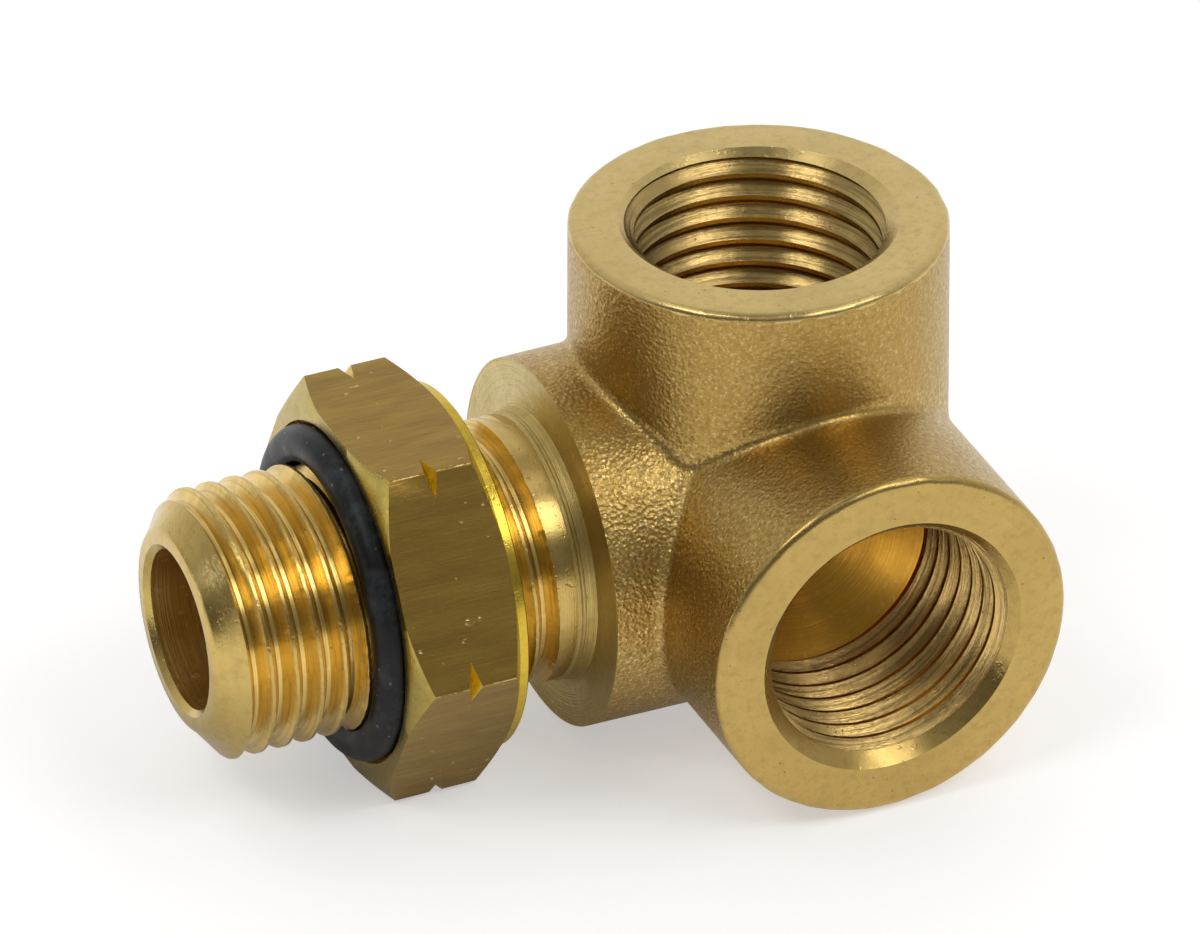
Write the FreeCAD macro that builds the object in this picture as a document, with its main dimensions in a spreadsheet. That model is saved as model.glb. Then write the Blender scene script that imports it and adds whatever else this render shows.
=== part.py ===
import FreeCAD, Part
import math
import os
import types
import Sketcher
from FreeCAD import Vector

# Three-way corner fitting of brass: a cast body with two female ports and a male stud,
# a lock nut on the stud and a rubber ring in the nut's counterbore.
# The origin is the centre of the machined shoulder face. The stud points along -X,
# the front port along -Y and the top port along +Z. Lengths are in millimetres.

SIZES = {
    # casting
    "reach": 14.0,           # shoulder face to the point where the three axes meet
    "port_reach": 18.7,      # that point to each port's face
    "root_radius": 11.3,     # ball at the corner, which the three arms run into
    "stud_draft": 0.7,       # taper of the short arm towards the shoulder, in degrees
    "port_draft": 0.5,       # taper of the two port arms towards their faces, in degrees
    "rim_break": 0.35,       # chamfer on the outer edge of each port's face
    # ports
    "port_radius": 7.25,     # core of the 16 mm by 1.5 mm inside thread
    "port_floor": 2.9,       # flow passage's wall to the end of the port's round wall
    "mouth_radius": 8.2,     # chamfered mouth at the face
    "drill_angle": 118.0,    # point at the bottom of every drilled hole, in degrees
    # stud
    "stud_length": 23.05,    # shoulder face to nose
    "stud_radius": 8.0,      # crests of the 16 mm by 1.5 mm outside thread
    "nose_radius": 6.05,     # outer edge of the nose's flat ring
    "neck_width": 0.4,       # slightly coned neck behind the flat ring
    "neck_radius": 6.4,      # where the neck meets the cone
    "nose_cone": 1.65,       # nose to the first full crest
    "passage_radius": 4.8,   # flow passage through the stud
    "lip_width": 0.35,       # chamfered lip of the flow passage
    "land_radius": 8.25,     # band beside the shoulder
    "land_width": 0.8,
    # rubber ring and the groove of the stud below it
    "ring_centre": 13.1,     # shoulder face to the middle of the ring
    "ring_mean": 8.9,        # radius of the circle through the section's centres
    "ring_section": 1.2,     # radius of the section
    "ring_gap": 0.03,        # ring to the stud's crests
    "groove_radius": 7.2,
    "groove_edge": 1.1,      # middle of the ring to the groove's front edge
    # lock nut
    "nut_back": 5.5,         # shoulder face to the collar's back face
    "nut_length": 7.5,
    "nut_flats": 22.0,       # width across the flats
    "collar_radius": 10.95,
    "collar_width": 0.6,
    "front_radius": 11.2,    # where the front chamfer starts
    "back_radius": 11.0,     # where the back chamfer starts
    "chamfer_angle": 30.0,   # both turned chamfers, from the faces, in degrees
    "nut_gap": 0.05,         # nut's bore to the stud's crests
    "nut_mouth": 0.35,       # chamfer at both ends of the nut's bore
    "seal_radius": 10.27,    # counterbore for the ring
    "seal_gap": 0.05,        # ring to the counterbore's floor
    "notch_place": 4.1,      # collar's back face to the middle of the corner notches
    "notch_radius": 12.0,    # bottom of the corner notches
    "notch_angle": 61.0,     # opening of the corner notches, in degrees
}


class Size:
    """A number together with the sheet's formula that gives it."""

    def __init__(self, number, formula):
        self.number = number
        self.formula = formula

    def __add__(self, other):
        return joined(self, "+", other)

    def __sub__(self, other):
        return joined(self, "-", other)

    def __mul__(self, other):
        return joined(self, "*", other)

    def __truediv__(self, other):
        return joined(self, "/", other)

    def __neg__(self):
        return Size(-self.number, "(0 - %s)" % self.formula)


def as_size(value):
    """A plain number as a size of its own."""
    if isinstance(value, Size):
        return value
    return Size(float(value), "%.9f" % value)


def joined(first, sign, second):
    """The sum, difference, product or quotient of two sizes."""
    second = as_size(second)
    a, b = first.number, second.number
    if sign == "+":
        number = a + b
    elif sign == "-":
        number = a - b
    elif sign == "*":
        number = a * b
    else:
        number = a / b
    return Size(number, "(%s %s %s)" % (first.formula, sign, second.formula))


def turn(function, angle):
    """Sine, cosine or tangent of a size given in degrees."""
    number = getattr(math, function)(math.radians(angle.number))
    return Size(number, "%s(%s)" % (function, angle.formula))


ZERO = as_size(0)
S = types.SimpleNamespace(
    **{name: Size(value, "Sizes." + name) for name, value in SIZES.items()}
)
doc = FreeCAD.newDocument("Fitting")


def make_sheet():
    """Write every driving size into a named cell of its own."""
    sheet = doc.addObject("Spreadsheet::Sheet", "Sizes")
    for row, (name, value) in enumerate(SIZES.items(), start=1):
        sheet.set("A%d" % row, name)
        sheet.set("B%d" % row, str(value))
        sheet.setAlias("B%d" % row, name)
    doc.recompute()


def make_body(label):
    """An empty body with its own name and place."""
    body = doc.addObject("PartDesign::Body", label)
    body.Label = label
    body.Placement = FreeCAD.Placement()
    return body


def plane(body, role):
    """One of the body's own origin planes."""
    return [item for item in body.Origin.OriginFeatures if item.Role == role][0]


def new_sketch(body, name, role, shift=None, lift=None, flip=False):
    """A sketch on an origin plane, moved along its own X or its normal, or turned over about X."""
    sketch = body.newObject("Sketcher::SketchObject", name)
    sketch.AttachmentSupport = [(plane(body, role), "")]
    sketch.MapMode = "FlatFace"
    if flip:
        sketch.AttachmentOffset = FreeCAD.Placement(
            Vector(), FreeCAD.Rotation(Vector(1, 0, 0), 180)
        )
    if shift:
        sketch.setExpression("AttachmentOffset.Base.x", shift.formula)
    if lift:
        sketch.setExpression("AttachmentOffset.Base.z", lift.formula)
    return sketch


def bind(sketch, kind, first, value):
    """A driving dimension of the sketch, tied to its formula."""
    number = sketch.addConstraint(Sketcher.Constraint(kind, *first, value.number))
    sketch.setExpression("Constraints[%d]" % number, value.formula)


def pin(sketch, geometry, point, x, y):
    """Hold one point of a sketch at its two distances from the sketch's origin."""
    for kind, value in (("DistanceX", x), ("DistanceY", y)):
        if value is not None:
            bind(sketch, kind, (-1, 1, geometry, point), value)


def draw(sketch, corners, closed=True):
    """Straight lines from corner to corner, each corner held by its two distances."""
    spots = [Vector(x.number, y.number, 0) for x, y in corners]
    count = len(corners) if closed else len(corners) - 1
    for i in range(count):
        sketch.addGeometry(Part.LineSegment(spots[i], spots[(i + 1) % len(spots)]))
        if i:
            sketch.addConstraint(Sketcher.Constraint("Coincident", i - 1, 2, i, 1))
        pin(sketch, i, 1, *corners[i])
    if closed:
        sketch.addConstraint(Sketcher.Constraint("Coincident", count - 1, 2, 0, 1))
    else:
        pin(sketch, count - 1, 2, *corners[-1])
    return count


def spin(body, kind, sketch, name, axis):
    """A full turn of the sketch about its own horizontal or vertical axis."""
    feature = body.newObject("PartDesign::" + kind, name)
    feature.Profile = sketch
    feature.ReferenceAxis = (sketch, [axis])
    feature.Angle = 360
    return feature


def pad(body, sketch, name, length):
    """The sketch raised along its normal by a length."""
    feature = body.newObject("PartDesign::Pad", name)
    feature.Profile = sketch
    feature.setExpression("Length", length.formula)
    return feature


def groove(body, name, role, corners, axis="H_Axis", shift=None, flip=False):
    """Turn a closed outline out of the body, and make sure that it took something away."""
    doc.recompute()
    before = body.Shape.Volume
    sketch = new_sketch(body, name + "_outline", role, shift=shift, flip=flip)
    draw(sketch, corners)
    spin(body, "Groove", sketch, name, axis)
    doc.recompute()
    if not body.Shape.Volume < before - 0.01:
        raise RuntimeError(name + " takes nothing away")


def close_with_ball(sketch, last, centre, pole, arm_end, axis_end, on_axis):
    """The corner ball from the arm's outline to the far end of its axis, and the axis itself.

    The arc is drawn counter-clockwise, from the angle of the pole to that of the arm's end.
    """
    ball = Part.Circle(Vector(centre.number, 0, 0), Vector(0, 0, 1), S.root_radius.number)
    arc = sketch.addGeometry(Part.ArcOfCircle(ball, pole, arm_end))
    sketch.addConstraint(Sketcher.Constraint("Coincident", arc, 2, last, 2))
    pin(sketch, arc, 3, centre, ZERO)
    line = sketch.addGeometry(Part.LineSegment(ball.value(pole), axis_end))
    sketch.addConstraint(Sketcher.Constraint("Coincident", line, 1, arc, 1))
    sketch.addConstraint(Sketcher.Constraint("Coincident", line, 2, 0, 1))
    sketch.addConstraint(Sketcher.Constraint("PointOnObject", line, 1, on_axis))


def arm_radius(distance, draft):
    """Radius of an arm at a distance from the point where the axes meet."""
    return S.root_radius / turn("cos", draft) - distance * turn("tan", draft)


def make_stud_arm(body):
    """The short arm with its shoulder, and the stud in front of it, as one turned form."""
    crest, groove_r = S.stud_radius, S.groove_radius
    groove_front = -(S.ring_centre + S.groove_edge)
    groove_back = -(S.ring_centre - S.ring_section)
    sketch = new_sketch(body, "stud_outline", "XZ_Plane")
    corners = [
        (-S.stud_length, ZERO),
        (-S.stud_length, S.nose_radius),
        (S.neck_width - S.stud_length, S.neck_radius),
        (S.nose_cone - S.stud_length, crest),
        (groove_front, crest),
        (groove_front, groove_r),
        (groove_back, groove_r),
        (groove_back, crest),
        (-S.land_width, crest),
        (-S.land_width, S.land_radius),
        (ZERO, S.land_radius),
        (ZERO, arm_radius(S.reach, S.stud_draft)),
        (
            S.reach - S.root_radius * turn("sin", S.stud_draft),
            S.root_radius * turn("cos", S.stud_draft),
        ),
    ]
    last = draw(sketch, corners, closed=False) - 1
    arm_end = math.pi / 2 + math.radians(SIZES["stud_draft"])
    nose = Vector(-SIZES["stud_length"], 0, 0)
    close_with_ball(sketch, last, S.reach, 0.0, arm_end, nose, on_axis=-1)
    spin(body, "Revolution", sketch, "stud_arm", "H_Axis")


def make_port_arm(body, name, role, flip):
    """One arm with a flat face, turned about its own axis."""
    sketch = new_sketch(body, name + "_outline", role, shift=S.reach, flip=flip)
    corners = [
        (ZERO, S.port_reach),
        (arm_radius(S.port_reach, S.port_draft), S.port_reach),
        (
            S.root_radius * turn("cos", S.port_draft),
            S.root_radius * turn("sin", S.port_draft),
        ),
    ]
    last = draw(sketch, corners, closed=False) - 1
    arm_end = math.radians(SIZES["port_draft"])
    face = Vector(0, SIZES["port_reach"], 0)
    close_with_ball(sketch, last, ZERO, -math.pi / 2, arm_end, face, on_axis=-2)
    spin(body, "Revolution", sketch, name, "V_Axis")


def is_port_rim(edge):
    """The outer edge of a port's flat face."""
    if edge.Length < 1 or not isinstance(edge.Curve, Part.Circle):
        return False
    if edge.Curve.Radius < SIZES["mouth_radius"] + 0.01:
        return False
    away = edge.Curve.Center - Vector(SIZES["reach"], 0, 0)
    return abs(away.Length - SIZES["port_reach"]) < 0.01


def break_rims(body):
    """A small chamfer round the outside of both port faces."""
    doc.recompute()
    base = body.Tip
    rims = ["Edge%d" % number for number, edge in enumerate(base.Shape.Edges, 1) if is_port_rim(edge)]
    if len(rims) != 2:
        raise RuntimeError("two port rims are expected, not %d" % len(rims))
    feature = body.newObject("PartDesign::Chamfer", "port_rims")
    feature.Base = (base, rims)
    feature.setExpression("Size", S.rim_break.formula)


def drill_point(radius):
    """How far a drill of this radius reaches past the end of its round wall."""
    return radius / turn("tan", S.drill_angle / as_size(2))


def make_port(body, name, role, flip):
    """A drilled blind hole with a chamfered mouth and a coned bottom, in one port arm."""
    mouth, wall = S.mouth_radius, S.port_radius
    floor = S.passage_radius + S.port_floor
    corners = [
        (ZERO, S.port_reach),
        (mouth, S.port_reach),
        (wall, S.port_reach - (mouth - wall)),
        (wall, floor),
        (ZERO, floor - drill_point(wall)),
    ]
    groove(body, name, role, corners, axis="V_Axis", shift=S.reach, flip=flip)


def make_passage(body):
    """The flow passage, drilled from the nose to where the three axes meet."""
    wall = S.passage_radius
    corners = [
        (-S.stud_length, ZERO),
        (-S.stud_length, wall + S.lip_width),
        (S.lip_width - S.stud_length, wall),
        (S.reach, wall),
        (S.reach + drill_point(wall), ZERO),
    ]
    groove(body, "passage", "XZ_Plane", corners)


def make_fitting_body():
    """The casting: three arms run into one ball, then drilled and broken at the edges."""
    body = make_body("fitting_body")
    make_stud_arm(body)
    make_port_arm(body, "top_arm", "XZ_Plane", False)
    make_port_arm(body, "front_arm", "XY_Plane", True)
    make_port(body, "top_port", "XZ_Plane", False)
    make_port(body, "front_port", "XY_Plane", True)
    make_passage(body)
    break_rims(body)
    return body


def make_hexagon(body):
    """The drawn six-sided bar that the nut is cut from, with flats above and below."""
    half = S.nut_flats / as_size(2)
    corner = S.nut_flats / as_size(math.sqrt(3))
    low, zero = -half, ZERO
    near = corner / as_size(2)
    sketch = new_sketch(body, "hexagon", "YZ_Plane", lift=-(S.nut_back + S.nut_length))
    draw(
        sketch,
        [(corner, zero), (near, half), (-near, half), (-corner, zero), (-near, low), (near, low)],
    )
    pad(body, sketch, "bar", S.nut_length - S.collar_width)


def make_collar(body):
    """The thin round collar at the nut's back."""
    sketch = new_sketch(body, "collar_circle", "YZ_Plane", lift=-(S.nut_back + S.collar_width))
    sketch.addGeometry(Part.Circle(Vector(), Vector(0, 0, 1), S.collar_radius.number))
    sketch.addConstraint(Sketcher.Constraint("Coincident", 0, 3, -1, 1))
    bind(sketch, "Radius", (0,), S.collar_radius)
    pad(body, sketch, "collar", S.collar_width)


def make_nut_chamfers(body):
    """The two turned chamfers that take the hexagon's corners off at its ends."""
    front = -(S.nut_back + S.nut_length)
    back = -(S.nut_back + S.collar_width)
    outside = S.nut_flats / as_size(math.sqrt(3)) + as_size(0.5)
    slope = turn("tan", S.chamfer_angle)
    groove(
        body,
        "front_chamfer",
        "XZ_Plane",
        [
            (front, S.front_radius),
            (front, outside),
            (front + (outside - S.front_radius) * slope, outside),
        ],
    )
    groove(
        body,
        "back_chamfer",
        "XZ_Plane",
        [
            (back, S.back_radius),
            (back - (outside - S.back_radius) * slope, outside),
            (back, outside),
        ],
    )


def make_notches(body):
    """The V turned across the hexagon's corners."""
    middle = -(S.nut_back + S.notch_place)
    outside = S.nut_flats / as_size(math.sqrt(3)) + as_size(0.5)
    half = (outside - S.notch_radius) * turn("tan", S.notch_angle / as_size(2))
    groove(
        body,
        "corner_notches",
        "XZ_Plane",
        [(middle, S.notch_radius), (middle - half, outside), (middle + half, outside)],
    )


def make_nut_bore(body):
    """The nut's bore with its two chamfers, and the ring's counterbore in front of it."""
    front = -(S.nut_back + S.nut_length)
    floor = -(S.ring_centre - S.ring_section - S.seal_gap)
    wall = S.stud_radius + S.nut_gap
    groove(
        body,
        "bore",
        "XZ_Plane",
        [
            (front, ZERO),
            (front, S.seal_radius),
            (floor, S.seal_radius),
            (floor, wall + S.nut_mouth),
            (floor + S.nut_mouth, wall),
            (-S.nut_back - S.nut_mouth, wall),
            (-S.nut_back, wall + S.nut_mouth),
            (-S.nut_back, ZERO),
        ],
    )


def make_lock_nut():
    """The hexagonal nut behind the ring."""
    body = make_body("lock_nut")
    make_hexagon(body)
    make_collar(body)
    make_nut_chamfers(body)
    make_notches(body)
    make_nut_bore(body)
    return body


def make_ring():
    """The rubber ring: a round section, pressed flat where it lies on the stud's crests."""
    body = make_body("o_ring")
    sketch = new_sketch(body, "ring_section", "XZ_Plane")
    flat = S.stud_radius + S.ring_gap
    drop = (S.ring_mean - flat).number
    half = math.sqrt(SIZES["ring_section"] ** 2 - drop**2)
    start = -math.asin(drop / SIZES["ring_section"])
    middle = Vector(-SIZES["ring_centre"], SIZES["ring_mean"], 0)
    circle = Part.Circle(middle, Vector(0, 0, 1), SIZES["ring_section"])
    sketch.addGeometry(Part.ArcOfCircle(circle, start, math.pi - start))
    sketch.addGeometry(
        Part.LineSegment(
            Vector(middle.x - half, flat.number, 0), Vector(middle.x + half, flat.number, 0)
        )
    )
    sketch.addConstraint(Sketcher.Constraint("Coincident", 0, 2, 1, 1))
    sketch.addConstraint(Sketcher.Constraint("Coincident", 0, 1, 1, 2))
    pin(sketch, 0, 3, -S.ring_centre, S.ring_mean)
    bind(sketch, "Radius", (0,), S.ring_section)
    pin(sketch, 1, 1, None, flat)
    sketch.addConstraint(Sketcher.Constraint("Horizontal", 1))
    spin(body, "Revolution", sketch, "ring", "H_Axis")
    return body


def write_parts(bodies):
    """Check the whole document, then write one file for each piece."""
    doc.recompute()
    failed = [item.Name for item in doc.Objects if {"Invalid", "Error"} & set(item.State)]
    if failed:
        raise RuntimeError("not built: " + ", ".join(failed))
    for body in bodies:
        shape = body.Shape
        if shape.isNull() or not shape.isValid() or len(shape.Solids) != 1:
            raise RuntimeError("no single valid solid: " + body.Label)
    os.makedirs("parts", exist_ok=True)
    for body in bodies:
        body.Shape.exportStep("parts/%s.step" % body.Label)


make_sheet()
write_parts([make_fitting_body(), make_lock_nut(), make_ring()])
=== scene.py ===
import math

import bmesh
import bpy
import numpy as np
from bpy.props import FloatProperty, FloatVectorProperty, IntProperty, PointerProperty
from mathutils import Matrix, Vector, noise


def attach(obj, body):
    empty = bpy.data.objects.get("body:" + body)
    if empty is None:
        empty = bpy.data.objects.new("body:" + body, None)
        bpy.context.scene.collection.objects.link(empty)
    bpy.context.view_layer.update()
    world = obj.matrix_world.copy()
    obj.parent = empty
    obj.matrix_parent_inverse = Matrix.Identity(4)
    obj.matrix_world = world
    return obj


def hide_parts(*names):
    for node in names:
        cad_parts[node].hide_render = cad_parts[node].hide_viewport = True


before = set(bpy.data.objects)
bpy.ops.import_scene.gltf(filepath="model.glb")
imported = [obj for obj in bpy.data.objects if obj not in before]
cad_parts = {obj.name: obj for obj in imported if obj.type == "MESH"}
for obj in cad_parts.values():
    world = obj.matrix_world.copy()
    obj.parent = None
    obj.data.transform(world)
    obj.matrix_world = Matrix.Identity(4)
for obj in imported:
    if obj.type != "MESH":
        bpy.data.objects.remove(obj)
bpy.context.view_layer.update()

bl_info = {
    "name": "Three-way brass fitting",
    "version": (1, 0, 0),
    "blender": (4, 5, 0),
    "location": "View3D > Sidebar > Fitting",
    "description": "Dresses the corner fitting with threads, cast and turned brass and rubber",
    "category": "Object",
}

# units and directions: shapes are drawn in millimetres, materials read metres
MM = 0.001
ORIGIN, CROSSING = Vector((0.0, 0.0, 0.0)), Vector((14.0, 0.0, 0.0))
STUD, TOP, FRONT = Vector((-1, 0, 0)), Vector((0, 0, 1)), Vector((0, -1, 0))
INWARD = Vector((1, 0, 0))

# radii of the casting's ball, the stud's crests, the ports' cores and the stud's passage
BALL, CREST, CORE, PASSAGE = 11.29, 8.0, 7.25, 4.8

# places along the arms from the crossing, and along the stud in front of the shoulder
SHOULDER_REACH, PORT_REACH = 14.0, 18.7
PORT_BOTTOM, PORT_THREAD_END = PORT_REACH - 11.0, PORT_REACH - 10.3
NOSE, LAND_FRONT = 23.05, 1.15

# the nut's width across its flats, and its ends' places from the shoulder towards the body
FLATS, NUT_FRONT, NUT_BACK, COLLAR_BACK = 22.0, -13.0, -6.1, -5.5

# level directions: towards the photographer, to the photographer's right, and to the left
TOWARD, RIGHT = (-0.405, -0.914, 0.0), (0.914, -0.405, 0.0)
LEFT = (-0.988, 0.154, 0.0)

# the order of the materials on the body, and of those on the nut
(
    CAST, TURNED_TOP, TURNED_FRONT, TURNED_STUD, CUT_TOP,
    CUT_FRONT, CUT_STUD, DRILLED, BORED, SHOULDER,
) = range(10)
DRAWN, NUT_FACE, NUT_CORNER, NUT_CUT = range(4)


def length(name, millimetres, description):
    """A size in the sidebar."""
    return FloatProperty(
        name=name, description=description, default=millimetres * MM, unit="LENGTH", precision=5
    )


def colour(name, red, green, blue, description):
    """A colour in the sidebar."""
    return FloatVectorProperty(
        name=name,
        description=description,
        default=(red, green, blue, 1.0),
        size=4,
        subtype="COLOR",
        min=0.0,
        max=1.0,
    )


class FittingSizes(bpy.types.PropertyGroup):
    """Sizes of the forms that the plain solids leave out."""

    pitch: length("Pitch", 1.5, "Rise of every thread in one turn")
    crest: length("Crest radius", CREST, "Crests of the stud's thread")
    root: length("Root radius", 7.15, "Roots of the stud's thread")
    core: length("Core radius", CORE, "Crests of the ports' threads")
    phase: length("Thread phase", -16.08, "Place of one crest straight above the stud's axis")
    valley: length("Valley round", 0.5, "Round of the valleys between the arms")
    skin_step: length("Skin step", 0.52, "Longest edge of the casting's mesh")
    skin_wave: length("Skin wave", 0.03, "Depth of the casting's shallow dents")
    ragged: length("Ragged edge", 0.05, "Raggedness of the stud's cut crests")
    turn_steps: IntProperty(
        name="Steps per turn", description="Facets of one turn of a thread", default=144, min=24
    )


class FittingColours(bpy.types.PropertyGroup):
    """Colours of the brass and the rubber."""

    cast: colour("Cast skin", 0.56, 0.385, 0.125, "Grained skin of the casting")
    cast_dark: colour("Cast skin, dark", 0.38, 0.25, 0.07, "Hollows of the grain")
    cast_stain: colour("Cast skin, stained", 0.42, 0.25, 0.06, "Warm stains on the casting")
    # painted shade: a darker skin colour towards the top port
    cast_upper_shade: colour("Cast skin, upper", 0.38, 0.24, 0.066, "Skin towards the top port")
    # painted highlight: a pale colour for glints on the grain
    cast_painted_glint: colour("Cast skin, glints", 0.85, 0.68, 0.34, "Sparkling points of the grain")
    turned: colour("Turned brass", 0.66, 0.49, 0.19, "Face of the top port")
    faced: colour("Faced brass", 0.53, 0.365, 0.115, "Face of the front port")
    stud: colour("Turned stud", 0.62, 0.44, 0.14, "Nose and crests of the stud")
    scuff: colour("Scuffed brass", 0.8, 0.66, 0.3, "Scuff on the nose")
    shoulder: colour("Shoulder", 0.64, 0.49, 0.18, "Shoulder and land behind the nut")
    stud_thread: colour("Stud thread", 0.78, 0.55, 0.17, "Flanks of the stud's thread")
    port_thread: colour("Port thread", 0.66, 0.46, 0.17, "Flanks of the ports' threads")
    bored: colour("Bored brass", 0.99, 0.7, 0.24, "Wall of the stud's passage")
    # painted highlight: a pale colour for glints on the passage's flecks
    bored_painted_glint: colour("Bored brass, flecks", 0.95, 0.8, 0.45, "Bright flecks in the passage")
    drilled: colour("Drilled brass", 0.95, 0.48, 0.06, "Coned bottoms of the ports")
    drilled_torn: colour("Drilled brass, torn", 0.85, 0.66, 0.25, "Torn spots on the bottoms")
    drawn: colour("Drawn brass", 0.31, 0.198, 0.042, "Flats of the nut")
    drawn_brown: colour("Drawn brass, brown", 0.23, 0.13, 0.036, "Stains on the flats")
    drawn_nick: colour("Drawn brass, nicks", 0.8, 0.64, 0.3, "Nicks in the flats")
    rubbed: colour("Rubbed brass", 0.62, 0.47, 0.19, "Bright places on the nut's corners")
    nut_face: colour("Turned nut brass", 0.49, 0.37, 0.09, "Ends and chamfers of the nut")
    nut_cut: colour("Cut nut brass", 0.7, 0.49, 0.06, "Collar and notches of the nut")
    rubber: colour("Rubber", 0.004, 0.0045, 0.005, "Ring")
    smear: colour("Smeared rubber", 0.24, 0.26, 0.29, "Dull smears on the ring")
    dust: colour("Dust", 0.3, 0.29, 0.27, "Dust on the ring")


def sizes():
    return bpy.context.scene.fitting_sizes


def colours():
    return bpy.context.scene.fitting_colours


# shader networks
class Value:
    """A socket whose arithmetic adds Math nodes."""

    def __init__(self, net, socket):
        self.net = net
        self.socket = socket

    def __add__(self, other):
        return self.net.calculate("ADD", self, other)

    __radd__ = __add__

    def __sub__(self, other):
        return self.net.calculate("SUBTRACT", self, other)

    def __rsub__(self, other):
        return self.net.calculate("SUBTRACT", other, self)

    def __mul__(self, other):
        return self.net.calculate("MULTIPLY", self, other)

    __rmul__ = __mul__


class Net:
    """The node tree of one material, or of the world."""

    def __init__(self, name, world=False):
        self.owner = (bpy.data.worlds if world else bpy.data.materials).new(name)
        self.owner.use_nodes = True
        self.tree = self.owner.node_tree
        self.tree.nodes.clear()

    def node(self, kind, settings=None, inputs=None, output=0):
        """One node: its settings first, then its sockets' values or links."""
        made = self.tree.nodes.new(kind)
        for name, value in (settings or {}).items():
            setattr(made, name, value)
        for name, value in (inputs or {}).items():
            if isinstance(value, Value):
                self.tree.links.new(value.socket, made.inputs[name])
            else:
                made.inputs[name].default_value = value
        return Value(self, made.outputs[output]) if len(made.outputs) else None

    def calculate(self, operation, first, second=0.0):
        """One Math node."""
        return self.node("ShaderNodeMath", {"operation": operation}, {0: first, 1: second})

    def measure(self, operation, vector, other):
        """A number from two vectors, such as their distance."""
        settings = {"operation": operation}
        return self.node("ShaderNodeVectorMath", settings, {0: vector, 1: other}, "Value")

    def level(self, value, low, high, to_low=0.0, to_high=1.0):
        """A value's range mapped to another range and clamped."""
        inputs = {"Value": value, 1: low, 2: high, 3: to_low, 4: to_high}
        return self.node("ShaderNodeMapRange", {"clamp": True}, inputs)

    def blend(self, factor, first, second):
        """Two colours mixed by a factor."""
        inputs = {0: factor, 6: first, 7: second}
        return self.node("ShaderNodeMix", {"data_type": "RGBA"}, inputs, output=2)

    def place(self):
        """Object coordinates, in metres."""
        return self.node("ShaderNodeTexCoord", output="Object")

    def mapped(self, vector, scale=(1, 1, 1), shift=(0, 0, 0)):
        """Coordinates that are squeezed and then shifted."""
        inputs = {"Vector": vector, "Scale": scale, "Location": shift}
        return self.node("ShaderNodeMapping", {}, inputs)

    def noise(self, vector, scale, detail=2.0, roughness=0.5):
        """Soft noise between nought and one."""
        inputs = {"Vector": vector, "Scale": scale, "Detail": detail, "Roughness": roughness}
        return self.node("ShaderNodeTexNoise", {}, inputs)

    def cells(self, vector, scale):
        """Distance from the middle of the nearest cell."""
        inputs = {"Vector": vector, "Scale": scale}
        return self.node("ShaderNodeTexVoronoi", {}, inputs, output="Distance")

    def join(self, x, y, z):
        """A vector from three numbers."""
        return self.node("ShaderNodeCombineXYZ", {}, {0: x, 1: y, 2: z})

    def split(self, vector):
        """The three numbers of a vector."""
        first = self.node("ShaderNodeSeparateXYZ", {}, {0: vector})
        return [Value(self, socket) for socket in first.socket.node.outputs]

    def bump(self, height, distance, strength=1.0):
        """A normal bent by a height."""
        inputs = {"Height": height, "Distance": distance, "Strength": strength}
        return self.node("ShaderNodeBump", {}, inputs)

    def finish(self, base, roughness, normal, metallic=1.0, specular=0.5):
        """The surface itself."""
        surface = self.node(
            "ShaderNodeBsdfPrincipled",
            {},
            {
                "Base Color": base,
                "Roughness": roughness,
                "Metallic": metallic,
                "Specular IOR Level": specular,
                "Normal": normal,
            },
        )
        self.node("ShaderNodeOutputMaterial", {}, {"Surface": surface})
        return self.owner


def darker(tone, factor):
    """The same colour with less light in it, or more where the factor is over one."""
    return (*(part * factor for part in tone[:3]), 1.0)


def cast_brass():
    """Hot-pressed skin: fine grain with painted glints over slow, mottled tones, painted darker
    towards the top port.
    """
    net = Net("cast_brass")
    c = colours()
    spot = net.place()
    grain = net.noise(spot, 3700.0, detail=3.0, roughness=0.6)
    flakes = net.cells(spot, 3900.0)
    lumps = net.noise(spot, 1500.0)
    slow = net.noise(spot, 190.0, detail=3.0, roughness=0.6)
    x, _, z = net.split(spot)
    coarse = net.level(x, 0.004, 0.011, 1.1, 0.62) * net.level(z, 0.006, 0.012, 1.0, 0.6)
    height = (grain * 0.7 + flakes * 0.6 + lumps * 0.5) * coarse
    base = net.blend(net.level(grain, 0.36, 0.64), c.cast_dark, c.cast)
    base = net.blend(net.level(slow, 0.42, 0.66, 0.0, 0.5), base, c.cast_stain)
    # painted shade: the skin is painted darker towards the top port
    base = net.blend(net.level(z, 0.006, 0.013, 0.0, 0.55), base, c.cast_upper_shade)
    # painted highlights: glints painted in a pale colour over the grain, strongest where the grain
    # is coarse
    painted_glints = net.level(net.noise(spot, 5600.0, detail=1.0), 0.6, 0.68)
    base = net.blend(painted_glints * coarse * 0.7, base, c.cast_painted_glint)
    rough = net.level(grain, 0.3, 0.7, 0.46, 0.26)
    return net.finish(base, rough, net.bump(height, 0.0001, 0.62))


def around(net, axis, centre):
    """Distance from a turning axis, height along it, and the angle about it."""
    x, y, z = net.split(net.mapped(net.place(), shift=tuple(-v * MM for v in centre)))
    across, up, along = {"X": (y, z, x), "Y": (x, z, y), "Z": (x, y, z)}[axis]
    radius = net.calculate("SQRT", across * across + up * up)
    return radius, along, net.calculate("ARCTAN2", up, across)


def tool_marks(net, axis, centre):
    """A function for rings about an axis, drawn out along the cut by a small share of the angle."""
    radius, along, angle = around(net, axis, centre)

    def rings(share, scale, detail=2.0, roughness=0.5):
        return net.noise(net.join(radius, along, angle * share), scale, detail, roughness)

    return rings


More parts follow.
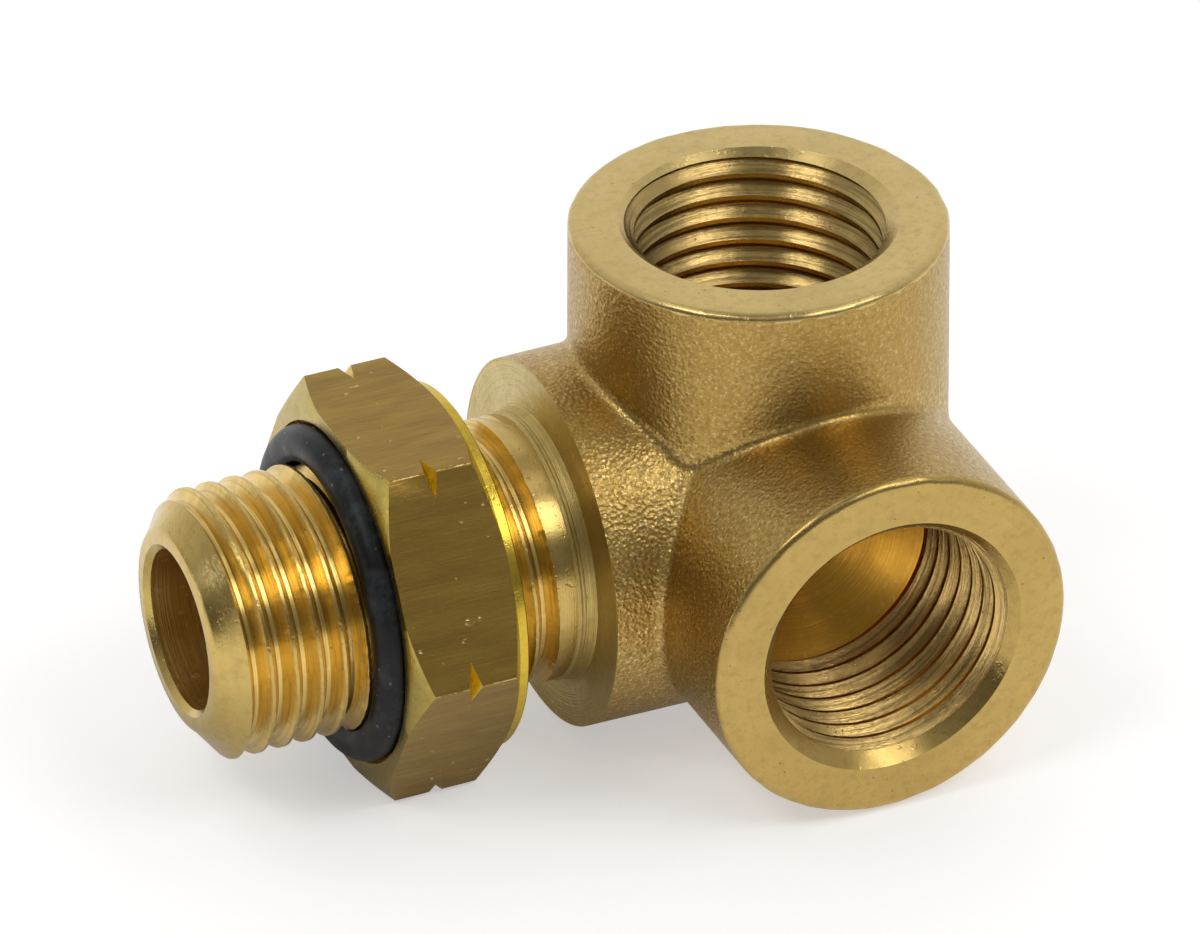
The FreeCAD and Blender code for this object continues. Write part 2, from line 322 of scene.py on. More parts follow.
def specks(net, spot, scale, size, amount):
    """Scattered dots: one in their middle, and fewer of them as the amount rises."""
    dots = net.level(net.cells(spot, scale), size * 0.6, size, 1.0, 0.0)
    return dots * net.level(net.noise(spot, scale * 0.3, detail=1.0), amount, amount + 0.04)


def turned_brass(name, axis, centre, tone, rough=0.26, mottle=0.3, cut=1.0, scuff=None):
    """A lathe-turned surface: fine rings about the axis, dents and handling scratches."""
    net = Net(name)
    spot = net.place()
    rings = tool_marks(net, axis, centre)
    fine = rings(0.0000015, 11000.0, detail=3.0, roughness=0.7)
    bands = rings(0.00006, 2600.0)
    slow = net.noise(spot, 300.0, detail=4.0, roughness=0.65)
    patches = net.noise(spot, 1500.0, detail=5.0, roughness=0.7)
    brushed = net.mapped(spot, scale=(1.0, 6.0, 11.0))
    scratches = net.noise(brushed, 800.0, detail=5.0, roughness=0.75)
    dents = net.level(net.noise(spot, 2300.0), 0.62, 0.72)
    dirt = specks(net, spot, 1300.0, 0.1, 0.5)
    base = net.blend(net.level(slow, 0.32, 0.68, 0.0, mottle), tone, darker(tone, 0.72))
    base = net.blend(net.level(patches, 0.48, 0.7, 0.0, 0.6), base, darker(tone, 0.66))
    base = net.blend(net.level(bands, 0.35, 0.7, 0.0, 0.15), base, darker(tone, 0.7))
    base = net.blend(net.level(scratches, 0.6, 0.72, 0.0, 0.3), base, darker(tone, 0.6))
    base = net.blend(dirt * 0.6, base, darker(tone, 0.2))
    height = fine * cut + scratches * 0.8 + patches * 0.8 - dents * 1.4
    if scuff:
        near = net.level(net.measure("DISTANCE", spot, scuff), 0.0004, 0.0014, 1.0, 0.0)
        torn = near * net.level(patches, 0.4, 0.56)
        base = net.blend(torn * 0.6, base, colours().scuff)
        height = height - torn * 4.0
    roughness = net.level(slow, 0.3, 0.7, rough - 0.05, rough + 0.08)
    return net.finish(base, roughness, net.bump(height, 0.000006))


def thread_brass(name, axis, centre, tone, dark, rough=0.17, marks=0.7):
    """Cut thread: bright flanks with fine lines along the cut and small burrs."""
    net = Net(name)
    spot = net.place()
    rings = tool_marks(net, axis, centre)
    fine = rings(0.000004, 9500.0, detail=4.0, roughness=0.75)
    lines = rings(0.00002, 4200.0)
    burrs = net.noise(spot, 5200.0)
    slow = net.noise(spot, 420.0, detail=4.0, roughness=0.6)
    base = net.blend(net.level(slow, 0.42, 0.7, 0.0, 0.4), tone, dark)
    base = net.blend(net.level(lines, 0.5, 0.6, 0.0, 0.6), base, dark)
    base = net.blend(specks(net, spot, 1300.0, 0.12, 0.5) * 0.6, base, darker(dark, 0.4))
    roughness = net.level(slow, 0.3, 0.7, rough, rough + 0.12)
    height = fine + lines * 1.2 + burrs * 0.2
    return net.finish(base, roughness, net.bump(height, 0.00001 * marks))


def drilled_brass():
    """The coned bottoms of the ports, with rings left by the drill."""
    net = Net("drilled_brass")
    tone = colours().drilled
    spot = net.place()
    marks = tool_marks(net, "Y", CROSSING)
    rings = marks(0.000003, 9000.0, detail=3.0, roughness=0.7)
    slow = net.noise(spot, 260.0, detail=4.0, roughness=0.65)
    torn = net.noise(spot, 2600.0, detail=3.0, roughness=0.7)
    base = net.blend(net.level(rings, 0.35, 0.65), tone, darker(tone, 0.7))
    base = net.blend(net.level(slow, 0.4, 0.65, 0.0, 0.5), base, darker(tone, 0.6))
    base = net.blend(net.level(torn, 0.6, 0.7, 0.0, 0.4), base, colours().drilled_torn)
    rough = net.level(slow, 0.3, 0.7, 0.24, 0.36)
    return net.finish(base, rough, net.bump(rings + torn * 0.5, 0.00003, 0.5))


def bored_brass():
    """The stud's passage: rings of the drill, with raised flecks painted as bright glints."""
    net = Net("bored_brass")
    tone = colours().bored
    spot = net.place()
    marks = tool_marks(net, "X", ORIGIN)
    rings = marks(0.00003, 5200.0, detail=4.0, roughness=0.75)
    painted_fleck_glints = specks(net, net.mapped(spot, scale=(0.5, 1.0, 1.0)), 1700.0, 0.3, 0.48)
    base = net.blend(net.level(rings, 0.35, 0.65), tone, darker(tone, 0.6))
    # raised flecks whose pale colour is a painted highlight
    base = net.blend(painted_fleck_glints * 0.7, base, colours().bored_painted_glint)
    rough = net.level(rings, 0.3, 0.7, 0.28, 0.42)
    return net.finish(base, rough, net.bump(rings + painted_fleck_glints * 0.4, 0.00003, 0.7))


def drawn_brass():
    """Flats of the drawn bar: brown, with fine streaks along the nut and a few nicks."""
    net = Net("drawn_brass")
    c = colours()
    spot = net.place()

    def streaked(share, scale, detail=2.0, roughness=0.5):
        return net.noise(net.mapped(spot, scale=(share, 1.0, 1.0)), scale, detail, roughness)

    streaks = streaked(0.06, 7000.0, detail=4.0, roughness=0.75)
    broad = streaked(0.2, 900.0, detail=4.0, roughness=0.6)
    nicks = net.level(streaked(0.6, 1900.0), 0.7, 0.76)
    grain = net.noise(spot, 5200.0)
    base = net.blend(net.level(streaks, 0.35, 0.68, 0.0, 0.7), c.drawn, darker(c.drawn, 1.5))
    base = net.blend(net.level(broad, 0.35, 0.65, 0.0, 0.5), base, c.drawn_brown)
    base = net.blend(nicks * 0.8, base, c.drawn_nick)
    rough = net.level(streaks, 0.3, 0.7, 0.42, 0.3)
    height = streaks + grain * 0.35 - nicks * 1.5
    return net.finish(base, rough, net.bump(height, 0.000014, 0.7))


def worn_corner():
    """Corners between the flats: rubbed bright in places and brown in others."""
    net = Net("worn_corner")
    c = colours()
    spot = net.place()
    worn = net.noise(spot, 900.0, detail=4.0, roughness=0.75)
    base = net.blend(net.level(worn, 0.46, 0.58), darker(c.drawn, 0.8), c.rubbed)
    rough = net.level(worn, 0.4, 0.6, 0.42, 0.28)
    return net.finish(base, rough, net.bump(net.noise(spot, 6000.0), 0.00002, 0.6))


def ring_rubber():
    """Black rubber with a dull sheen and a little dust."""
    net = Net("ring_rubber")
    c = colours()
    spot = net.place()
    fine = net.noise(spot, 4200.0, detail=3.0, roughness=0.6)
    slow = net.noise(spot, 500.0, detail=3.0)
    dust = specks(net, spot, 1300.0, 0.16, 0.46)
    smear = net.noise(spot, 350.0, detail=5.0, roughness=0.7)
    base = net.blend(net.level(smear, 0.5, 0.66, 0.0, 0.12), c.rubber, c.smear)
    base = net.blend(dust * 0.5, base, c.dust)
    rough = net.level(slow, 0.3, 0.7, 0.34, 0.48)
    return net.finish(base, rough, net.bump(fine, 0.000015, 0.5), metallic=0.0, specular=0.3)


# mesh helpers
def settle(bm, material=0):
    """Merge doubles, turn the faces outwards and give them one material."""
    bmesh.ops.remove_doubles(bm, verts=bm.verts, dist=1e-6)
    bmesh.ops.dissolve_degenerate(bm, edges=bm.edges, dist=1e-6)
    bmesh.ops.recalc_face_normals(bm, faces=bm.faces)
    for face in bm.faces:
        face.material_index = material
    return bm


def square_to(axis):
    """The direction in which an outline is drawn before it is turned about its axis."""
    return Vector((0, 0, 1)) if axis.z == 0 else Vector((1, 0, 0))


def spun(outline, axis, centre, steps, rise=0.0):
    """An outline spun once about an axis, and raised along it where a rise is given.

    The outline's points are (place along the axis, radius). It runs from the axis back to
    the axis, or it is a closed loop that stays clear of the axis.
    """
    bm = bmesh.new()
    side = square_to(axis)
    spots = [bm.verts.new(centre + axis * along + side * radius) for along, radius in outline]
    following = spots[1:] + (spots[:1] if outline[0][1] > 0 else [])
    edges = [bm.edges.new(pair) for pair in zip(spots, following)]
    bmesh.ops.spin(
        bm,
        geom=spots + edges,
        cent=centre,
        axis=axis,
        dvec=axis * (rise / steps),
        angle=math.tau,
        steps=steps,
        use_merge=not rise,
        use_duplicate=False,
    )
    return bm


def turned(outline, axis, centre=ORIGIN, steps=256, material=0):
    """A closed solid of revolution."""
    return settle(spun(outline, axis, centre, steps), material)


def repaint(bm, axis, centre, limit, material):
    """Give the faces that lie before a place along the axis another material."""
    for face in bm.faces:
        if (face.calc_center_median() - centre).dot(axis) < limit:
            face.material_index = material
    return bm


def outward(spot, axis):
    """The part of a spot's place that is square to an axis."""
    return spot - axis * spot.dot(axis)


def roughen(bm, axis, centre, amount, fineness):
    """Move vertices a little towards or away from an axis, for an uneven edge."""
    for vert in bm.verts:
        spot = vert.co - centre
        away = outward(spot, axis)
        if away.length > 0.01:
            vert.co += away.normalized() * (amount * noise.noise(spot * fineness))
    return bm


def helix(
    profile, axis, centre, start, turns, lead, material, fade=(0.0, 0.0), lift=0.0, ragged=0.0
):
    """A closed rib of whole turns along a right-hand helix.

    The profile's points are (along the axis, radius), and the fourth has the rib's open side.
    At its ends the rib moves away from the surface by lift, over the turns given by fade,
    and its open side wanders along the axis by ragged.
    """
    outline = [(start + along, radius) for along, radius in profile]
    bm = spun(outline, axis, centre, sizes().turn_steps, lead)
    once = bm.verts[:] + bm.edges[:] + bm.faces[:]
    for turn in range(1, turns):
        copied = bmesh.ops.duplicate(bm, geom=once)
        verts = [item for item in copied["geom"] if isinstance(item, bmesh.types.BMVert)]
        bmesh.ops.translate(bm, verts=verts, vec=axis * (lead * turn))
    bmesh.ops.remove_doubles(bm, verts=bm.verts, dist=1e-4)
    bmesh.ops.holes_fill(bm, edges=[edge for edge in bm.edges if edge.is_boundary], sides=0)
    side, open_side = square_to(axis), profile[3][1]
    other = axis.cross(side)
    for vert in bm.verts:
        spot = vert.co - centre
        angle = math.atan2(spot.dot(other), spot.dot(side)) / math.tau
        done = (spot.dot(axis) - start) / lead
        done = angle + round(done - angle)
        left = min(
            1.0,
            done / fade[0] if fade[0] else 1.0,
            (turns - done) / fade[1] if fade[1] else 1.0,
        )
        away = outward(spot, axis)
        vert.co += away.normalized() * (lift * (1.0 - max(left, 0.0)) ** 2)
        if abs(away.length - open_side) < 0.01:
            vert.co += axis * (ragged * noise.noise(spot * 2.2))
    return settle(bm, material)


def groove(bottom, mouth, near, far):
    """Cross-section of a thread's groove, rounded at its bottom (near) and open at far."""
    half, edge, rise = bottom / 2, mouth / 2, (far - near) * 0.15
    knee = half + (edge - half) * 0.22
    return [
        (-half, near), (half, near), (knee, near + rise),
        (edge, far), (-edge, far), (-knee, near + rise),
    ]


def vee(width, near, far):
    """Cross-section of a 60 degree groove: narrow at near, as wide as it gets at far."""
    wide = width + abs(far - near) * math.tan(math.radians(30)) * 2
    return [(-width / 2, near), (width / 2, near), (wide / 2, far), (-wide / 2, far)]


def place_new(name, data):
    """A new object in the scene."""
    thing = bpy.data.objects.new(name, data)
    bpy.context.scene.collection.objects.link(thing)
    return thing


def to_object(bm, name, materials):
    """A mesh object from a bmesh, which is used up."""
    bmesh.ops.triangulate(bm, faces=bm.faces)
    mesh = bpy.data.meshes.new(name)
    bm.to_mesh(mesh)
    bm.free()
    for material in materials:
        mesh.materials.append(material)
    return place_new(name, mesh)


def combine(thing, tool, operation="DIFFERENCE"):
    """Cut the tool from the thing, or join it on, and drop the tool."""
    if isinstance(tool, bmesh.types.BMesh):
        tool = to_object(tool, "tool", list(thing.data.materials))
    modifier = thing.modifiers.new("combine", "BOOLEAN")
    modifier.operation = operation
    modifier.object = tool
    modifier.solver = "MANIFOLD"
    modifier.material_mode = "INDEX"
    graph = bpy.context.evaluated_depsgraph_get()
    made = bpy.data.meshes.new_from_object(thing.evaluated_get(graph))
    thing.modifiers.remove(modifier)
    if len(made.polygons) == 0:
        raise RuntimeError("nothing is left of " + thing.name)
    used = thing.data, tool.data
    thing.data = made
    bpy.data.objects.remove(tool)
    for mesh in used:
        bpy.data.meshes.remove(mesh)


def finish_piece(thing):
    """Scale to metres and smooth the shading, but keep edges over 32 degrees sharp."""
    thing.data.transform(Matrix.Scale(MM, 4))
    thing.data.shade_smooth()
    thing.data.set_sharp_from_angle(angle=math.radians(32.0))
    thing.data.update()


# the casting, whose arms are (direction, reach from the crossing, draft in degrees)
ARMS = ((STUD, SHOULDER_REACH, 0.7), (TOP, PORT_REACH, 0.5), (FRONT, PORT_REACH, 0.5))


def skin_distance(points, valley):
    """Distance of points from the casting's skin: three tapered arms run into one ball.

    Each arm stands 1.2 mm past its reach, where it is faced later.
    """
    total = facing = None
    for axis, reach, draft in ARMS:
        slope = math.radians(draft)
        along = points @ np.array(axis)
        outward = points - np.maximum(along, 0.0)[:, None] * np.array(axis)
        away = np.linalg.norm(outward, axis=1)
        outward /= np.maximum(away, 1e-9)[:, None]
        cone = (away + along * math.tan(slope)) * math.cos(slope)
        ball = np.linalg.norm(points, axis=1)
        arm = np.where(along > BALL * math.sin(slope), cone, ball) - BALL
        arm = np.maximum(arm, along - reach - 1.2)
        if total is None:
            total, facing = arm, outward
            continue
        rounding = valley * (1.0 - np.sum(facing * outward, axis=1) ** 2)
        facing = np.where((arm < total)[:, None], outward, facing)
        u = np.maximum(rounding - total, 0.0)
        v = np.maximum(rounding - arm, 0.0)
        total = np.maximum(rounding, np.minimum(total, arm)) - np.hypot(u, v)
    return total


def wrap_skin(bm, valley, wave):
    """Move every vertex along its ray from the crossing on to the skin, with its dents.

    The skin is found by halving the part of the ray that lies 6 to 30 mm out.
    """
    bm.verts.ensure_lookup_table()
    rays = np.array([vert.co[:] for vert in bm.verts])
    rays /= np.linalg.norm(rays, axis=1)[:, None]
    low, high = np.full(len(rays), 6.0), np.full(len(rays), 30.0)
    for _ in range(40):
        middle = (low + high) / 2
        inside = skin_distance(rays * middle[:, None], valley) < 0
        low = np.where(inside, middle, low)
        high = np.where(inside, high, middle)
    for vert, spot in zip(bm.verts, rays * low[:, None]):
        spot = Vector(spot)
        dent = 0.5 + 0.35 * noise.noise(spot * 0.5) + 0.15 * noise.noise(spot * 1.3)
        vert.co = spot - spot.normalized() * (wave * dent)


def casting_skin():
    """The cast outside of the body, a ball drawn out into three arms, not yet faced."""
    s = sizes()
    valley, step, wave = s.valley / MM, s.skin_step / MM, s.skin_wave / MM
    bm = bmesh.new()
    bmesh.ops.create_icosphere(bm, subdivisions=6, radius=10.0)
    wrap_skin(bm, valley, wave)
    for _ in range(2):
        long = [edge for edge in bm.edges if edge.calc_length() > step]
        if not long:
            break
        bmesh.ops.subdivide_edges(bm, edges=long, cuts=1, use_grid_fill=False)
        bmesh.ops.triangulate(bm, faces=bm.faces, quad_method="SHORT_EDGE", ngon_method="BEAUTY")
        wrap_skin(bm, valley, wave)
    bmesh.ops.translate(bm, verts=bm.verts, vec=CROSSING)
    return settle(bm, CAST)


def stud_outline():
    """The turned outside of the stud: nose, thread, ring's groove, thread, land and shoulder."""
    return [
        (NOSE, 0.0), (NOSE, 5.8), (22.98, 6.0), (22.82, 6.2), (22.62, 6.38), (21.4, CREST),
        (13.95, CREST), (13.85, 7.7), (12.0, 7.7), (11.9, CREST),
        (LAND_FRONT, CREST), (1.08, 8.06), (0.9, 8.1), (0.84, 8.04), (0.78, 8.04),
        (0.4, 8.1), (0.1, 8.2), (0.0, 8.24), (-3.0, 8.24), (-3.0, 0.0),
    ]


def port_outline(lead):
    """A port's hole: countersunk mouth with its lead, core, plain band and coned bottom."""
    mouth = PORT_REACH - lead
    return [
        (20.0, 0.0), (20.0, 9.5), (PORT_REACH, 8.2), (mouth, CORE + 0.2), (mouth - 0.25, CORE),
        (PORT_THREAD_END, CORE), (PORT_BOTTOM, CORE),
        (PORT_BOTTOM - CORE / math.tan(math.radians(59)), 0.0),
    ]


def rim_outline():
    """What the facing cut takes off an arm, with the rounded rim left below it."""
    depth, width, face = 0.5, 0.52, 10.62
    arc = [
        (PORT_REACH - depth + depth * math.sin(turn), face + width * math.cos(turn))
        for turn in (math.radians(angle) for angle in range(90, -1, -15))
    ]
    return [(PORT_REACH, 0.0), *arc, (PORT_REACH - 0.52, 14.0), (26.0, 14.0), (26.0, 0.0)]


def passage_outline():
    """The hole through the stud, countersunk at the nose and coned at its end in the body."""
    return [
        (NOSE + 1.0, 0.0), (NOSE + 1.0, 6.15), (NOSE, 5.15), (NOSE - 0.35, PASSAGE),
        (-14.0, PASSAGE), (-16.88, 0.0),
    ]


def body_materials():
    """The body's materials, in the order of their numbers at the top."""
    c = colours()
    cut = c.port_thread
    nose_scuff = (-0.0223, -0.0036, 0.0058)
    return [
        cast_brass(),
        turned_brass("turned_top", "Z", CROSSING, c.turned),
        turned_brass("turned_front", "Y", CROSSING, c.faced),
        turned_brass("turned_stud", "X", ORIGIN, c.stud, rough=0.22, scuff=nose_scuff),
        # painted shade and painted light: the top port's thread takes a darker copy of the port
        # thread colour and the front port's a lighter copy
        thread_brass(
            "thread_top", "Z", CROSSING, darker(cut, 0.78), darker(cut, 0.3), rough=0.14, marks=2.0
        ),
        thread_brass(
            "thread_front", "Y", CROSSING, darker(cut, 1.15), darker(cut, 0.35), marks=3.5
        ),
        thread_brass("thread_stud", "X", ORIGIN, c.stud_thread, darker(c.stud_thread, 0.6)),
        drilled_brass(),
        bored_brass(),
        turned_brass("turned_shoulder", "X", ORIGIN, c.shoulder, rough=0.3, cut=14.0),
    ]


def threaded_stud(brass):
    """The stud with its outside thread, which runs out at the land."""
    s = sizes()
    pitch, crest, root = s.pitch / MM, s.crest / MM, s.root / MM
    stud = turned(stud_outline(), STUD, material=TURNED_STUD)
    stud = to_object(repaint(stud, STUD, ORIGIN, LAND_FRONT + 0.05, SHOULDER), "stud", brass)
    turns, last = 16, s.phase / MM + 8.5 * pitch
    thread = helix(
        groove(0.24, 1.43, root, crest + 0.1), INWARD, ORIGIN, last - (turns - 1) * pitch,
        turns, pitch, CUT_STUD, fade=(0.0, 0.4), lift=1.0, ragged=s.ragged / MM,
    )
    combine(stud, thread)
    return stud


def cut_port(body, axis, wall, cut, start, lead):
    """Bore one port with its coned bottom, and cut its thread from the start outwards.

    Its wall and its cut thread have a material each.
    """
    pitch, core = sizes().pitch / MM, sizes().core / MM
    hole = turned(port_outline(lead), axis, CROSSING, material=wall)
    combine(body, repaint(hole, axis, CROSSING, PORT_THREAD_END - 0.1, DRILLED))
    thread = helix(
        groove(0.1, 1.32, 7.85, core - 0.05), axis, CROSSING, start,
        9, pitch, cut, fade=(0.25, 0.0), lift=-0.9,
    )
    combine(body, thread)


class FITTING_OT_casting(bpy.types.Operator):
    """Make the casting with its threaded stud and ports"""

    bl_idname = "fitting.casting"
    bl_label = "Casting"

    def execute(self, context):
        brass = body_materials()
        body = to_object(casting_skin(), "casting", brass)
        for axis, material in ((TOP, TURNED_TOP), (FRONT, TURNED_FRONT)):
            rim = turned(rim_outline(), axis, CROSSING, material=material)
            combine(body, roughen(rim, axis, CROSSING, amount=0.06, fineness=0.7))
        facing = [(0.0, 0.0), (0.0, 14.0), (6.0, 14.0), (6.0, 0.0)]
        combine(body, turned(facing, STUD, material=SHOULDER))
        combine(body, threaded_stud(brass), "UNION")
        cut_port(body, TOP, TURNED_TOP, CUT_TOP, start=PORT_REACH - 11.44, lead=0.56)
        cut_port(body, FRONT, TURNED_FRONT, CUT_FRONT, start=PORT_BOTTOM, lead=0.78)
        hole = turned(passage_outline(), STUD, material=TURNED_STUD)
        combine(body, repaint(hole, STUD, ORIGIN, NOSE - 0.35, BORED))
        finish_piece(body)
        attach(body, "fitting")
        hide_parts("fitting_body")
        return {"FINISHED"}


# the lock nut
def nut_blank():
    """The hexagonal bar of the nut, with worn corners that point along Y."""
    bm = bmesh.new()
    bmesh.ops.create_circle(bm, cap_ends=True, segments=6, radius=FLATS / math.sqrt(3))
    lifted = bmesh.ops.extrude_face_region(bm, geom=bm.faces[:])
    verts = [item for item in lifted["geom"] if isinstance(item, bmesh.types.BMVert)]
    bmesh.ops.translate(bm, verts=verts, vec=(0, 0, 8.0))
    bmesh.ops.recalc_face_normals(bm, faces=bm.faces)
    long = [edge for edge in bm.edges if abs(edge.verts[0].co.z - edge.verts[1].co.z) > 1]
    worn = bmesh.ops.bevel(
        bm, geom=long, offset=0.05, segments=2, profile=0.5, material=-1, affect="EDGES"
    )
    turn = Matrix(((0, 0, 1), (1, 0, 0), (0, 1, 0))).to_4x4()
    turn = turn @ Matrix.Rotation(math.pi / 6, 4, "Z")
    place = Matrix.Translation((NUT_FRONT - 0.5, 0, 0))
    bmesh.ops.transform(bm, matrix=place @ turn, verts=bm.verts)
    bmesh.ops.recalc_face_normals(bm, faces=bm.faces)
    for face in worn["faces"]:
        face.material_index = NUT_CORNER
    return bm


class FITTING_OT_lock_nut(bpy.types.Operator):
    """Make the hexagonal lock nut with its chamfers, notches, counterbore and thread"""

    bl_idname = "fitting.lock_nut"
    bl_label = "Lock nut"

    def execute(self, context):
        s, c = sizes(), colours()
        pitch, crest = s.pitch / MM, s.crest / MM
        brass = [
            drawn_brass(),
            turned_brass("turned_nut", "X", ORIGIN, c.nut_face),
            worn_corner(),
            turned_brass("cut_nut", "X", ORIGIN, c.nut_cut, mottle=0.2),
        ]
        nut = to_object(nut_blank(), "nut", brass)
        slope = math.tan(math.radians(30))
        ends = [
            (NUT_FRONT, 0.0), (NUT_FRONT, 11.2), (NUT_FRONT + 1.8 * slope, 13.0),
            (NUT_BACK - 2.0 * slope, 13.0), (NUT_BACK, 11.0), (NUT_BACK, 0.0),
        ]
        collar = [
            (-8.0, 0.0), (-8.0, 10.95), (COLLAR_BACK - 0.08, 10.95),
            (COLLAR_BACK, 10.87), (COLLAR_BACK, 0.0),
        ]
        middle, half = -9.6, 1.2 * math.tan(math.radians(30.5))
        notch = [(middle, 12.0), (middle - half, 13.2), (middle + half, 13.2)]
        bore = [
            (-14.0, 0.0), (-14.0, 10.27), (-11.85, 10.27), (-11.85, 7.7), (-11.4, 7.28),
            (-7.5, 7.28), (-7.05, 8.06), (-5.75, 8.06), (COLLAR_BACK, 8.3), (-5.0, 8.3),
            (-5.0, 0.0),
        ]
        combine(nut, turned(ends, INWARD, material=NUT_FACE), "INTERSECT")
        combine(nut, turned(collar, INWARD, material=NUT_CUT), "UNION")
        combine(nut, turned(notch, INWARD, material=NUT_CUT))
        combine(nut, turned(bore, INWARD, material=NUT_CUT))
        thread = vee(pitch / 8 + 0.07, crest + 0.03, 7.1)
        start = s.phase / MM + 3 * pitch
        combine(nut, helix(thread, INWARD, ORIGIN, start, 8, pitch, NUT_CUT))
        finish_piece(nut)
        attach(nut, "nut")
        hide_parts("lock_nut")
        return {"FINISHED"}


# the rubber ring
class FITTING_OT_ring(bpy.types.Operator):
    """Make the rubber ring"""

    bl_idname = "fitting.ring"
    bl_label = "Rubber ring"

    def execute(self, context):
        middle, mean, section, flat = -13.1, 8.9, 1.2, 8.03
        low = math.asin((mean - flat) / section)
        outline = [
            (middle + section * math.cos(turn), mean + section * math.sin(turn))
            for turn in np.linspace(-low, math.pi + low, 30)
        ]
        ring = to_object(turned(outline, INWARD, steps=192), "ring", [ring_rubber()])
        finish_piece(ring)
        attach(ring, "seal")
        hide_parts("o_ring")
        return {"FINISHED"}


# floor, lights and camera, in metres and degrees
FLOOR_HEIGHT = -0.01132
CAMERA_PLACE, CAMERA_ANGLES = (-0.189158, -0.435550, 0.303703), (-23.8984, 32.1561, -0.2836)

# the lamps' names, turns, rises, widths, heights and strengths
LAMPS = (
    ("key_lamp", 58, 50, 0.5, 0.36, 3.4),
    ("fill_lamp", -50, 56, 0.4, 0.28, 4.2),
    ("right_lamp", 108, 66, 0.3, 0.24, 1.2),
    ("left_lamp", -104, 70, 0.25, 0.25, 1.2),
    ("front_lamp", 2, 61, 0.12, 0.2, 1.2),
    ("side_lamp", -86, 4, 0.12, 0.12, 4.0),
)


def softbox(name, turn, rise, width, height, strength):
    """A soft lamp 1 m away that shines at the part.

    It is placed by its turn from the photographer's side and its rise, in degrees.
    """
    turn, rise = math.radians(turn), math.radians(rise)
    way = Vector(TOWARD) * math.cos(turn) + Vector(RIGHT) * math.sin(turn)
    way *= math.cos(rise)
    way.z = math.sin(rise)
    lamp = bpy.data.lights.new(name, "AREA")
    lamp.shape = "RECTANGLE"
    lamp.size, lamp.size_y = width, height
    lamp.energy = strength * math.pi * width * height
    thing = place_new(name, lamp)
    thing.location = way
    thing.rotation_euler = (-way).to_track_quat("-Z", "Y").to_euler()


def floor_material():
    """Pale floor that the camera and the polished faces see as white outside the shadow, with a
    painted shadow in the glow that the polished faces see near the part.
    """
    net = Net("floor_white")
    seen, mirrored, through = (
        net.node("ShaderNodeLightPath", output=ray)
        for ray in ("Is Camera Ray", "Is Glossy Ray", "Is Transmission Ray")
    )
    matt = net.node("ShaderNodeBsdfDiffuse", {}, {"Color": (0.8, 0.8, 0.8, 1.0)})
    x, y, _ = net.split(net.place())
    past = net.calculate("MAXIMUM", net.calculate("ABSOLUTE", x + 0.012) - 0.011, 0.0)
    off = net.calculate("SQRT", past * past + y * y)
    # painted shadow: the glow that polished faces and glass see fades near the part
    painted_shadow = net.level(off, 0.006, 0.024, 0.1, 0.48)
    strength = seen * 0.45 + (mirrored + through) * painted_shadow
    glow = net.node("ShaderNodeEmission", {}, {"Color": (1, 1, 1, 1), "Strength": strength})
    both = net.node("ShaderNodeAddShader", {}, {0: matt, 1: glow})
    net.node("ShaderNodeOutputMaterial", {}, {"Surface": both})
    return net.owner


def studio_world():
    """A pale tent, darker towards the photographer, low on the left and straight above."""
    net = Net("studio", world=True)
    way = net.node("ShaderNodeTexCoord", output="Generated")
    toward, left = (net.measure("DOT_PRODUCT", way, side) for side in (TOWARD, LEFT))
    rise = net.split(way)[2]
    low_left = net.level(left, 0.55, 0.95, 0.0, 0.3) * net.level(rise, 0.1, 0.4, 1.0, 0.0)
    above = net.level(rise, 0.8, 0.97, 0.0, 0.22)
    strength = net.level(toward, -0.95, 0.75, 0.95, 0.17) - low_left - above
    ray = net.node("ShaderNodeLightPath", output="Is Camera Ray")
    shown = net.calculate("MAXIMUM", strength, ray)
    glow = net.node("ShaderNodeBackground", {}, {"Color": (1, 1, 1, 1), "Strength": shown})
    net.node("ShaderNodeOutputWorld", {}, {"Surface": glow})
    bpy.context.scene.world = net.owner


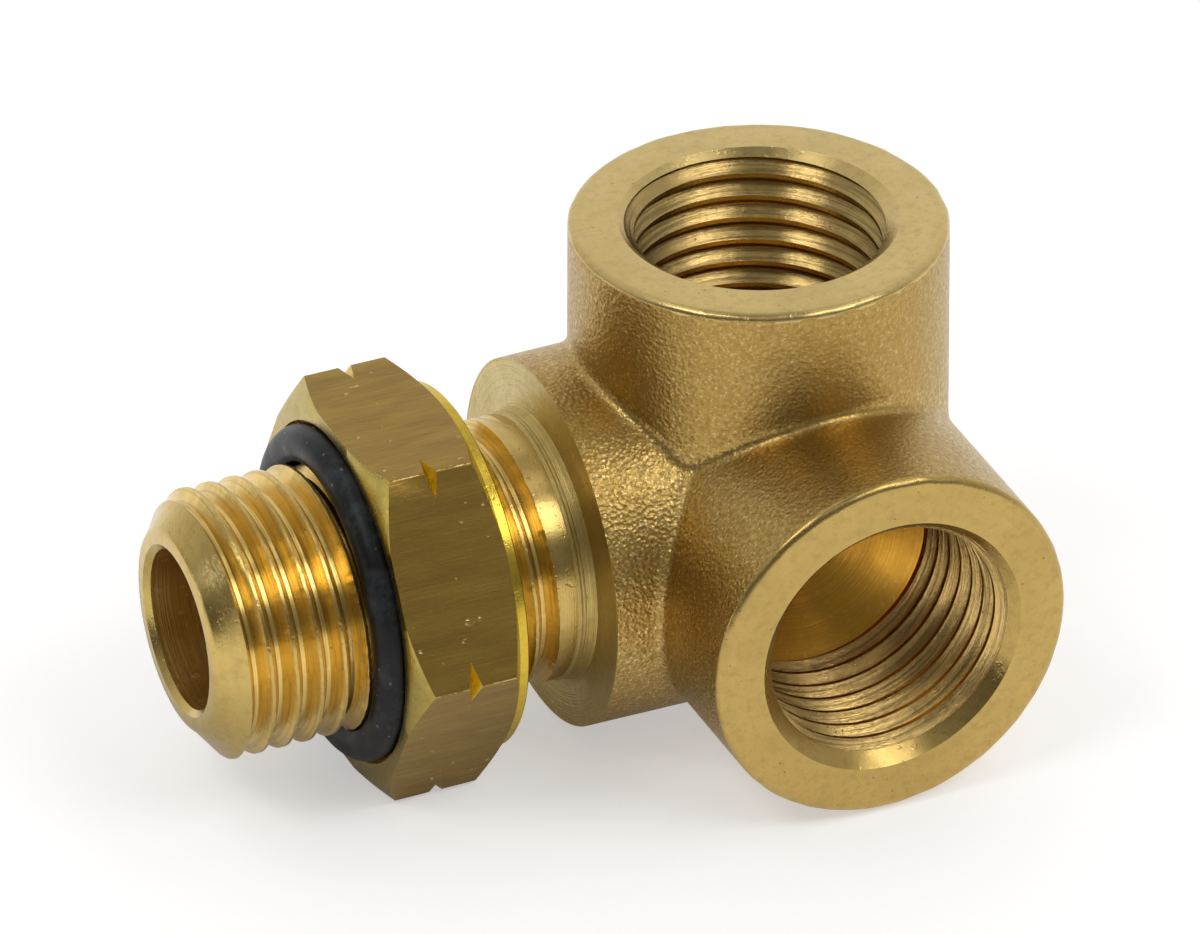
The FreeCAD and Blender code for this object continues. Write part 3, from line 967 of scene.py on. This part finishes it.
def photo_camera():
    """The camera at the photograph's angle, as measured from the fitting's own circles."""
    turn, tilt, roll = (math.radians(angle) for angle in CAMERA_ANGLES)
    back = Vector(
        (math.sin(turn) * math.cos(tilt), -math.cos(turn) * math.cos(tilt), math.sin(tilt))
    )
    right = Vector((math.cos(turn), math.sin(turn), 0.0))
    up = back.cross(right)
    right, up = (
        right * math.cos(roll) + up * math.sin(roll),
        up * math.cos(roll) - right * math.sin(roll),
    )
    lens = bpy.data.cameras.new("photo_camera")
    lens.sensor_width = 36.0
    lens.sensor_fit = "HORIZONTAL"
    lens.lens = 288.27
    lens.clip_start, lens.clip_end = 0.05, 20.0
    camera = place_new("photo_camera", lens)
    aim = Matrix((right, up, back)).transposed().to_4x4()
    camera.matrix_world = Matrix.Translation(CAMERA_PLACE) @ aim
    bpy.context.scene.camera = camera


class FITTING_OT_stage(bpy.types.Operator):
    """Make the floor, the lights and the camera"""

    bl_idname = "fitting.stage"
    bl_label = "Stage"

    def execute(self, context):
        bm = bmesh.new()
        bmesh.ops.create_grid(bm, x_segments=1, y_segments=1, size=2.5)
        bmesh.ops.translate(bm, verts=bm.verts, vec=(0, 0, FLOOR_HEIGHT))
        floor = to_object(bm, "floor", [floor_material()])
        studio_world()
        for lamp in LAMPS:
            softbox(*lamp)
        photo_camera()
        context.scene.view_settings.view_transform = "Standard"
        return {"FINISHED"}


class FITTING_PT_panel(bpy.types.Panel):
    """Sidebar panel with every step"""

    bl_idname = "FITTING_PT_panel"
    bl_label = "Fitting"
    bl_space_type = "VIEW_3D"
    bl_region_type = "UI"
    bl_category = "Fitting"

    def draw(self, context):
        layout = self.layout
        for operator in OPERATORS:
            layout.operator(operator.bl_idname)
        for group in (sizes(), colours()):
            for name in group.__annotations__:
                layout.prop(group, name)


OPERATORS = (FITTING_OT_casting, FITTING_OT_lock_nut, FITTING_OT_ring, FITTING_OT_stage)
CLASSES = (FittingSizes, FittingColours, *OPERATORS, FITTING_PT_panel)


def register():
    for item in CLASSES:
        bpy.utils.register_class(item)
    bpy.types.Scene.fitting_sizes = PointerProperty(type=FittingSizes)
    bpy.types.Scene.fitting_colours = PointerProperty(type=FittingColours)


def unregister():
    del bpy.types.Scene.fitting_colours
    del bpy.types.Scene.fitting_sizes
    for item in reversed(CLASSES):
        bpy.utils.unregister_class(item)


def main():
    """Make every piece in order."""
    register()
    bpy.ops.fitting.casting()
    bpy.ops.fitting.lock_nut()
    bpy.ops.fitting.ring()
    bpy.ops.fitting.stage()


if __name__ == "__main__":
    main()
